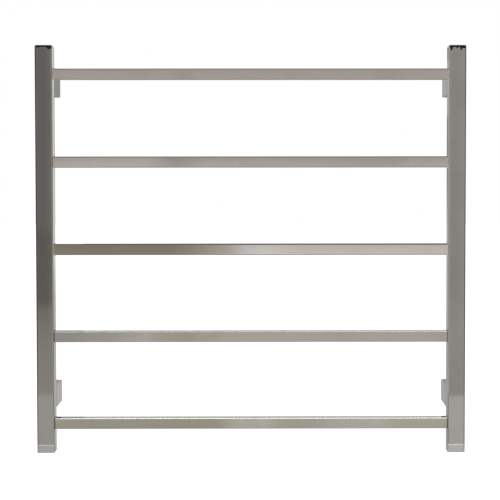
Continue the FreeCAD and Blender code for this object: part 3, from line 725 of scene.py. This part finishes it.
def weld_steel(name, tint, metallic):
    """Weld metal, brushed rather than buffed, with a given tint and fine ripples.

    A lower metallic gives a pale scatter, which with a pale tint is a painted highlight.
    """
    material, tree, shader, place = blank_material(name)
    grain = noise(tree, place, 1500, 3, 0.6)
    colour = mix_colours(tree, noise(tree, place, 260, 2, 0.5), tint, tuple(part * 0.7 for part in tint))
    feed(
        tree,
        shader,
        Base_Color=colour,
        Roughness=stretch(tree, grain, 0.3, 0.7, 0.24, 0.42),
        Normal=bump(tree, [(grain, 1.5e-5)]),
        Metallic=metallic,
    )
    return material


# The three upper bars' welds wear a pale copy of the weld metal, a painted highlight, and the two lower bars'
# a dark copy, partly heat tint and partly painted shade. The legs' welds wear the pale copy.
pale_painted_highlight_weld = weld_steel("pale_painted_highlight_weld", (0.84, 0.82, 0.78), 0.4)
tinted_painted_shade_weld = weld_steel("tinted_painted_shade_weld", (0.34, 0.32, 0.27), 0.9)
for bar in range(1, 6):
    for side in ("left", "right"):
        piece = weld_round_bar(f"weld_bar_{bar}_{side}", bar, side)
        finish_piece(piece, pale_painted_highlight_weld if bar < 4 else tinted_painted_shade_weld, "rack", "polished_steel")


# ---- Top caps --------------------------------------------------------------------------------------
# Square plugs that close the uprights' tops, welded and buffed flush with the sides. Their upper edge
# is well rounded, and the plate is slightly crowned.

CAP_ROUNDING = 0.0022
CAP_CROWN = 0.0003
CAP_CORNER = 0.0025  # of the flat top
PLUG_HALF = 0.0104
PLUG_CHAMFER = 0.001
PLUG_CORNERS = [0.0006, 0.001, 0.001]  # on its end, below the chamfer and at the seam


def top_cap(name, node, seam):
    """Rings from the plug's end up the plug, out to the sides, over the rounded edge and in over the crown.

    The edge is a quarter circle, and the corners grow rounder as it turns in; the crown is a parabola.
    """
    low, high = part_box(node)
    middle = (low + high) / 2
    turn = np.linspace(0, np.pi / 2, 10)
    inwards = np.array([0.92, 0.75, 0.5, 0.25, 0.08])
    edge = high.z - CAP_CROWN
    flat_half = POST_HALF - CAP_ROUNDING
    halves = np.concatenate(
        [
            [PLUG_HALF - PLUG_CHAMFER, PLUG_HALF, PLUG_HALF, POST_HALF],
            POST_HALF - CAP_ROUNDING * (1 - np.cos(turn)),
            flat_half * inwards,
        ]
    )
    rounder = POST_CORNER + (CAP_CORNER - POST_CORNER) * (1 - np.cos(turn))
    corners = np.concatenate([PLUG_CORNERS, [POST_CORNER], rounder, CAP_CORNER * inwards])
    levels = np.concatenate(
        [
            [low.z, low.z + PLUG_CHAMFER, seam, seam],
            edge - CAP_ROUNDING * (1 - np.sin(turn)),
            edge + CAP_CROWN * (1 - inwards**2),
        ]
    )
    rings = np.stack([square_outline(half, half, corner) for half, corner in zip(halves, corners)])
    heights = np.broadcast_to(levels[:, None], rings.shape[:2])
    return new_piece(name, np.dstack([rings + np.array([middle.x, middle.y]), heights]))


# How far each cap's sides are worn over towards its top, so that they mirror the dark ceiling.
for side, worn_over in (("left", 0.45), ("right", 1.3)):
    node = f"top_cap_{side}"
    material = polished_steel(
        f"polished_{node}",
        middle_of(node),
        (POST_HALF, POST_HALF, None),
        POST_CORNER,
        lean=(0, 0, worn_over),
        wave=5e-5,
    )
    piece = top_cap(f"cap_plate_{side}", node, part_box(f"{side}_post")[1].z)
    finish_piece(piece, material, "rack", "polished_steel", node)


# ---- Bottom caps -----------------------------------------------------------------------------------
# Blocks plugged into the uprights' lower ends. They are brushed, not buffed, and painted lighter than
# the tube as a painted highlight, the right one more than the left. A bright line shows where each
# was faced off against its tube.

# Painted highlight: each cap's brushed tones are lighter than the steel, the right cap's more than the
# left's.
BRUSHED_PAINTED_LIGHT_TONES = {
    "left": ((0.75, 0.75, 0.73), (0.86, 0.86, 0.84)),
    "right": ((0.80, 0.81, 0.80), (0.91, 0.92, 0.91)),
}  # the darker and the lighter of its brushed tones
SHOULDER = 0.0003
SEAM_WAVER = 0.00012
FOOT_EDGE = 0.0006
FOOT_DISH = 0.0003


def bottom_cap(name, node, seam, wave_at):
    """Rings from the plug's end down to the shoulder, over it, down the sides, round and in underneath.

    The shoulder is a quarter circle under the tube's end, and its height wavers as a slow sine round
    the block. The lower edge is another, and the underside is dished as a parabola.
    """
    low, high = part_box(node)
    middle = (low + high) / 2
    turn = np.linspace(0, np.pi / 2, 6)
    inwards = np.array([0.9, 0.6, 0.3, 0.08])
    halves = np.concatenate(
        [
            [PLUG_HALF - PLUG_CHAMFER, PLUG_HALF, PLUG_HALF],
            POST_HALF - SHOULDER * (1 - np.sin(turn)),
            POST_HALF - FOOT_EDGE * (1 - np.cos(turn)),
            (POST_HALF - FOOT_EDGE) * inwards,
        ]
    )
    corners = np.concatenate([PLUG_CORNERS, np.full(2 * len(turn), POST_CORNER), POST_CORNER * inwards])
    levels = np.concatenate(
        [
            [high.z, high.z - PLUG_CHAMFER, seam],
            seam - SHOULDER * (1 - np.cos(turn)),
            low.z + FOOT_EDGE * (1 - np.sin(turn)),
            low.z + FOOT_DISH * (1 - inwards**2),
        ]
    )
    rings = np.stack([square_outline(half, half, corner) for half, corner in zip(halves, corners)])
    heights = np.repeat(levels[:, None], rings.shape[1], axis=1)
    round_cap = np.linspace(0, 2 * np.pi, rings.shape[1], endpoint=False)
    heights[3 : 3 + len(turn)] -= SEAM_WAVER * (1 + np.sin(3 * round_cap + wave_at))
    return new_piece(name, np.dstack([rings + np.array([middle.x, middle.y]), heights]))


for side, (darker, lighter) in BRUSHED_PAINTED_LIGHT_TONES.items():
    node = f"bottom_cap_{side}"
    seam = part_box(f"{side}_post")[0].z
    material, tree, shader, place = blank_material(f"brushed_{node}")
    brushing = noise(tree, place, 1800, 3, 0.6, drawn_along(2, 0.04))
    feed(
        tree,
        shader,
        Base_Color=mix_colours(tree, brushing, darker, lighter),
        Roughness=stretch(tree, brushing, 0.3, 0.7, 0.26, 0.40),
        Normal=bump(tree, [(brushing, 2e-6)]),
        Metallic=1.0,
    )
    piece = bottom_cap(f"foot_{side}", node, seam, 0.4 if side == "left" else 2.2)
    finish_piece(piece, material, "rack", "satin_steel", node)


# ---- Legs ------------------------------------------------------------------------------------------
# Four hollow legs of rectangular tube, welded to the backs of the posts, which slide over the blocks
# on the wall. Each is rougher underneath, where its underside is painted near-black, a painted shade.

LEG_HALF_HIGH = 0.016
LEG_WELD = 0.0016

for level in ("top", "bottom"):
    for side in ("left", "right"):
        node = f"leg_{level}_{side}"
        material = polished_steel(
            f"polished_{node}",
            middle_of(node),
            (POST_HALF, None, LEG_HALF_HIGH),
            POST_CORNER,
            lean=(0, 0.03, 0),
            swell=(0, 0, 0.2),
            dull_and_painted_shade_below=True,
        )
        wear(node, material)


def weld_across_leg(name, node, upward):
    """A fillet along the top or bottom of a leg where it meets its post.

    The section, which is the bars' weld section laid on the leg, is carried straight across and
    shrinks to nothing as a half ellipse at its ends.
    """
    low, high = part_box(node)
    middle = (low + high) / 2
    across = np.linspace(-1, 1, 25)
    shrink = np.sqrt(1 - (across * 0.985) ** 2) ** 0.35
    off, along = weld_section(LEG_WELD)
    x = middle.x + across * (POST_HALF - POST_CORNER)
    y = low.y + along[None, :] * shrink[:, None]
    face = high.z if upward > 0 else low.z
    z = face + upward * off[None, :] * shrink[:, None]
    return new_piece(name, np.stack([np.broadcast_to(x[:, None], y.shape), y, z], axis=-1))


for level in ("top", "bottom"):
    for side in ("left", "right"):
        for edge, upward in (("over", 1), ("under", -1)):
            piece = weld_across_leg(f"weld_leg_{level}_{side}_{edge}", f"leg_{level}_{side}", upward)
            finish_piece(piece, pale_painted_highlight_weld, "rack", "polished_steel")


# ---- Wall bases ------------------------------------------------------------------------------------
# Blocks milled from stainless bar and screwed to the wall. The cutter's fine lines run up and down, and
# the sides are rubbed bright where the legs slide on.

material, tree, shader, place = blank_material("milled_base")
cutter = noise(tree, place, 1400, 2, 0.5, drawn_along(2, 0.03))
handling = noise(tree, place, 45, 4, 0.6)
rubbing = noise(tree, place, 500, 2, 0.6, drawn_along(1, 0.05))
tone = mix_colours(tree, handling, (0.42, 0.42, 0.41), (0.56, 0.555, 0.54))
tone = mix_colours(tree, stretch(tree, rubbing, 0.58, 0.72), tone, (0.66, 0.65, 0.63))
feed(
    tree,
    shader,
    Base_Color=tone,
    Roughness=stretch(tree, cutter, 0.3, 0.7, 0.24, 0.46),
    Normal=bump(tree, [(cutter, 6e-6), (rubbing, 2e-6)]),
    Metallic=1.0,
)
for level in ("top", "bottom"):
    for side in ("left", "right"):
        wear(f"wall_base_{level}_{side}", material)


# ---- Grub screws -----------------------------------------------------------------------------------
# Short stainless set screws with a rolled thread and a hexagon socket, turned up from below each leg
# against the block inside.

SCREW_RADIUS = 0.0025
PITCH = 0.0008
THREAD_DEPTH = 0.00043
SCREW_CHAMFER = 0.0004
SOCKET_HALF = 0.00125
SOCKET_DEPTH = 0.002
SOCKET_LIP = 0.0001
DRILLED_TIP = 0.0004  # how much deeper than the hexagon the socket was drilled
INNERMOST = (0.0006, 0.0003)  # radii of the innermost rings, at the tip and in the socket


def grub_screw(name, node):
    """Rings from the flat tip down the thread to the driven end, and up inside the socket.

    On the thread the radius is a rounded triangle wave of the height in pitches less the turn, so
    that it winds as a right-handed screw; the socket's rings are a hexagon, its half width over the
    cosine of the angle off the nearest flat's middle.
    """
    low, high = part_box(node)
    middle = (low + high) / 2
    columns = 72
    turn = np.linspace(0, 2 * np.pi, columns, endpoint=False)
    heights = np.linspace(high.z - SCREW_CHAMFER * 0.5, low.z + SCREW_CHAMFER * 0.5, 64)
    phase = (heights[:, None] / PITCH - turn / (2 * np.pi)) % 1.0
    groove = np.clip(np.abs(2 * phase - 1) * 1.3 - 0.15, 0, 1)
    to_end = np.minimum(high.z - heights, heights - low.z)
    limit = SCREW_RADIUS - np.clip(SCREW_CHAMFER - to_end, 0, None)
    thread = np.minimum(SCREW_RADIUS - THREAD_DEPTH * groove, limit[:, None])
    hexagon = SOCKET_HALF / np.cos((turn + np.pi / 6) % (np.pi / 3) - np.pi / 6)
    flat = np.ones(columns)
    end_radius = SCREW_RADIUS - SCREW_CHAMFER - SOCKET_LIP
    radii = np.vstack(
        [
            flat * INNERMOST[0],
            flat * end_radius,
            thread,
            flat * end_radius,
            hexagon * 1.06,
            hexagon,
            hexagon,
            flat * INNERMOST[1],
        ]
    )
    levels = np.concatenate(
        [
            [high.z, high.z],
            heights,
            [low.z, low.z, low.z + SOCKET_LIP],
            [low.z + SOCKET_DEPTH, low.z + SOCKET_DEPTH + DRILLED_TIP],
        ]
    )
    x, y = middle.x + radii * np.cos(turn), middle.y + radii * np.sin(turn)
    return new_piece(name, np.stack([x, y, np.broadcast_to(levels[:, None], radii.shape)], axis=-1), sharp=50)


material, tree, shader, place = blank_material("screw_stainless")
rolled = noise(tree, place, 2400, 2, 0.5, drawn_along(2, 3.0))
worn = noise(tree, place, 300, 3, 0.6)
feed(
    tree,
    shader,
    Base_Color=mix_colours(tree, worn, (0.36, 0.36, 0.35), (0.56, 0.555, 0.54)),
    Roughness=stretch(tree, rolled, 0.3, 0.7, 0.26, 0.42),
    Normal=bump(tree, [(rolled, 4e-6)]),
    Metallic=1.0,
)
screw_steel = material
for level in ("top", "bottom"):
    for side in ("left", "right"):
        piece = grub_screw(f"set_screw_{level}_{side}", f"grub_screw_{level}_{side}")
        finish_piece(piece, screw_steel, f"grub_{level}_{side}", "screw_steel", f"grub_screw_{level}_{side}")


# ---- Cable grommet ---------------------------------------------------------------------------------
# A moulded black rubber bush pressed into the lower right wall base, where the supply comes out of the
# wall. Its bore has three soft ribs that grip the cable, and its ends are rounded.

BORE = 0.003
RIB = 0.00035
GROMMET_EDGE = 0.0005
GROMMET_CORNER, INSET_CORNER = 0.001, 0.0006  # of its outline, at the sides and on its ends


def grommet(name, node):
    """A closed ring: round the bush's front end, back through the bore and round its back end.

    Each row mixes the rounded rectangle with the bore's circle at the same turn; a quarter sine
    rounds each end, and the ribs are three humps of a cosine along the bore.
    """
    low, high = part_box(node)
    middle = (low + high) / 2
    half_x, half_z = (high.x - low.x) / 2, (high.z - low.z) / 2
    outside = square_outline(half_x, half_z, GROMMET_CORNER)
    inset = square_outline(half_x - GROMMET_EDGE, half_z - GROMMET_EDGE, INSET_CORNER)
    bearing = np.arctan2(outside[:, 1], outside[:, 0])
    circle = np.stack([np.cos(bearing), np.sin(bearing)], axis=-1)
    front, back = low.y, high.y
    bend = np.linspace(0, 1, 5)
    along_bore = np.linspace(0, 1, 37)
    ribbed = BORE - RIB * 0.5 * (1 - np.cos(2 * np.pi * 3 * along_bore))
    eased = np.sin(bend * np.pi / 2)
    falling = 1 - np.cos(bend * np.pi / 2)
    front_edge = outside + (inset - outside) * falling[:, None, None]
    front_y = front + GROMMET_EDGE * (1 - eased)
    back_edge = front_edge[::-1]
    back_y = back - GROMMET_EDGE * (1 - eased[::-1])
    bore = circle * ribbed[:, None, None]
    bore_y = front + GROMMET_EDGE + (back - front - 2 * GROMMET_EDGE) * along_bore
    mouth = circle * (BORE + GROMMET_EDGE)
    section = np.concatenate([front_edge, mouth[None], bore, mouth[None], back_edge])
    y = np.concatenate([front_y, [front], bore_y, [back], back_y])
    y = np.broadcast_to(y[:, None], section.shape[:2])
    rows = np.stack([middle.x + section[..., 0], y, middle.z + section[..., 1]], axis=-1)
    return new_piece(name, rows, ring=True, sharp=60)


material, tree, shader, place = blank_material("black_rubber")
moulding = noise(tree, place, 900, 3, 0.6)
chalk = noise(tree, place, 140, 4, 0.65)
feed(
    tree,
    shader,
    Base_Color=mix_colours(tree, stretch(tree, chalk, 0.5, 0.8), (0.022, 0.022, 0.023), (0.075, 0.073, 0.07)),
    Roughness=stretch(tree, moulding, 0.3, 0.7, 0.5, 0.72),
    Normal=bump(tree, [(moulding, 1.2e-5)]),
)
bush = grommet("rubber_bush", "cable_grommet")
finish_piece(bush, material, "wall_bases", "grommet_rubber", "cable_grommet")


# ---- Heating cable ---------------------------------------------------------------------------------
# One length of silicone heating cable, red-brown and dusted with talc, pushed through all five bars and
# both posts. A black shrunk sleeve seals its far end and another joins it to the cut-out.

material, tree, shader, place = blank_material("silicone_cable")
skin = noise(tree, place, 1100, 3, 0.6)
talc = noise(tree, place, 70, 5, 0.7)
pigment = mix_colours(tree, noise(tree, place, 30, 2, 0.5), (0.46, 0.075, 0.045), (0.36, 0.055, 0.035))
feed(
    tree,
    shader,
    Base_Color=mix_colours(tree, stretch(tree, talc, 0.55, 0.85, 0, 0.5), pigment, (0.66, 0.5, 0.45)),
    Roughness=stretch(tree, talc, 0.4, 0.7, 0.42, 0.68),
    Normal=bump(tree, [(skin, 8e-6)]),
)
wear("heating_cable", material)

material, tree, shader, place = blank_material("shrunk_sleeve")
wrinkles = noise(tree, place, 380, 3, 0.55)
pores = noise(tree, place, 2200, 2, 0.5)
feed(
    tree,
    shader,
    Base_Color=mix_colours(tree, wrinkles, (0.018, 0.018, 0.019), (0.05, 0.05, 0.052)),
    Roughness=stretch(tree, pores, 0.3, 0.7, 0.34, 0.55),
    Normal=bump(tree, [(wrinkles, 6e-5), (pores, 4e-6)]),
)
for node in ("end_seal", "cable_boot", "lead_boot"):
    wear(node, material)


# ---- Cold lead and cut-out -------------------------------------------------------------------------
# The unheated lead has a white heat-resisting sheath, a little yellowed. It carries the thermal
# cut-out, a small drawn aluminium can that opens the circuit if the rack overheats.

material, tree, shader, place = blank_material("white_sheath")
skin = noise(tree, place, 1300, 3, 0.6)
yellowing = stretch(tree, noise(tree, place, 40, 3, 0.6), 0.4, 0.75)
feed(
    tree,
    shader,
    Base_Color=mix_colours(tree, yellowing, (0.76, 0.755, 0.72), (0.68, 0.63, 0.50)),
    Roughness=stretch(tree, skin, 0.3, 0.7, 0.4, 0.6),
    Normal=bump(tree, [(skin, 9e-6)]),
)
wear("cold_lead", material)

material, tree, shader, place = blank_material("drawn_can")
can_low, can_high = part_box("thermal_cutout")
can_along = int(np.argmax(can_high - can_low))
drawing = noise(tree, place, 2200, 2, 0.5, drawn_along(can_along, 0.03))
dents = noise(tree, place, 160, 2, 0.5)
feed(
    tree,
    shader,
    Base_Color=mix_colours(tree, drawing, (0.62, 0.63, 0.64), (0.76, 0.77, 0.78)),
    Roughness=stretch(tree, drawing, 0.3, 0.7, 0.2, 0.36),
    Normal=bump(tree, [(drawing, 3e-6), (dents, 4e-5)]),
    Metallic=1.0,
)
wear("thermal_cutout", material)


# ---- Terminal block --------------------------------------------------------------------------------
# A three-pole connector moulded in white polyamide, spark-textured all over, in the lower right leg.
# Its clamping screws are plain brass, slightly tarnished.

material, tree, shader, place = blank_material("white_polyamide")
spark = noise(tree, place, 2600, 2, 0.6)
flow = noise(tree, place, 120, 4, 0.6, drawn_along(1, 0.4))
feed(
    tree,
    shader,
    Base_Color=mix_colours(tree, flow, (0.80, 0.79, 0.74), (0.88, 0.87, 0.83)),
    Roughness=stretch(tree, spark, 0.3, 0.7, 0.38, 0.56),
    Normal=bump(tree, [(spark, 1.4e-5)]),
)
wear("terminal_block", material)

material, tree, shader, place = blank_material("plain_brass")
turning = noise(tree, place, 2600, 2, 0.5, drawn_along(2, 3.0))
tarnish = noise(tree, place, 320, 4, 0.65)
feed(
    tree,
    shader,
    Base_Color=mix_colours(tree, stretch(tree, tarnish, 0.42, 0.75), (0.76, 0.58, 0.28), (0.48, 0.34, 0.15)),
    Roughness=stretch(tree, tarnish, 0.35, 0.75, 0.2, 0.42),
    Normal=bump(tree, [(turning, 4e-6)]),
    Metallic=1.0,
)
for node in ("terminal_screws", "earth_tag"):
    wear(node, material)


# ---- Earth bond ------------------------------------------------------------------------------------
# A green and yellow wire runs from the block to a brass ring tag, which a stainless nut holds on a stud
# welded inside the leg. The wire's insulation is two colours extruded together, so the bands slant.

for node in ("earth_stud", "earth_nut"):
    wear(node, screw_steel)

EARTH_BANDS = 0.006  # one green and one yellow together
material, tree, shader, place = blank_material("green_and_yellow")
slant = add_node(tree, "ShaderNodeVectorMath", {0: place, 1: (1, 1, 1)}, operation="DOT_PRODUCT")
turns = maths(tree, "SINE", maths(tree, "MULTIPLY", slant.outputs["Value"], 2 * math.pi / EARTH_BANDS))
skin = noise(tree, place, 1500, 2, 0.6)
feed(
    tree,
    shader,
    Base_Color=mix_colours(tree, stretch(tree, turns, -0.12, 0.12), (0.045, 0.27, 0.05), (0.74, 0.58, 0.035)),
    Roughness=stretch(tree, skin, 0.3, 0.7, 0.26, 0.4),
    Normal=bump(tree, [(skin, 6e-6)]),
)
wear("earth_wire", material)
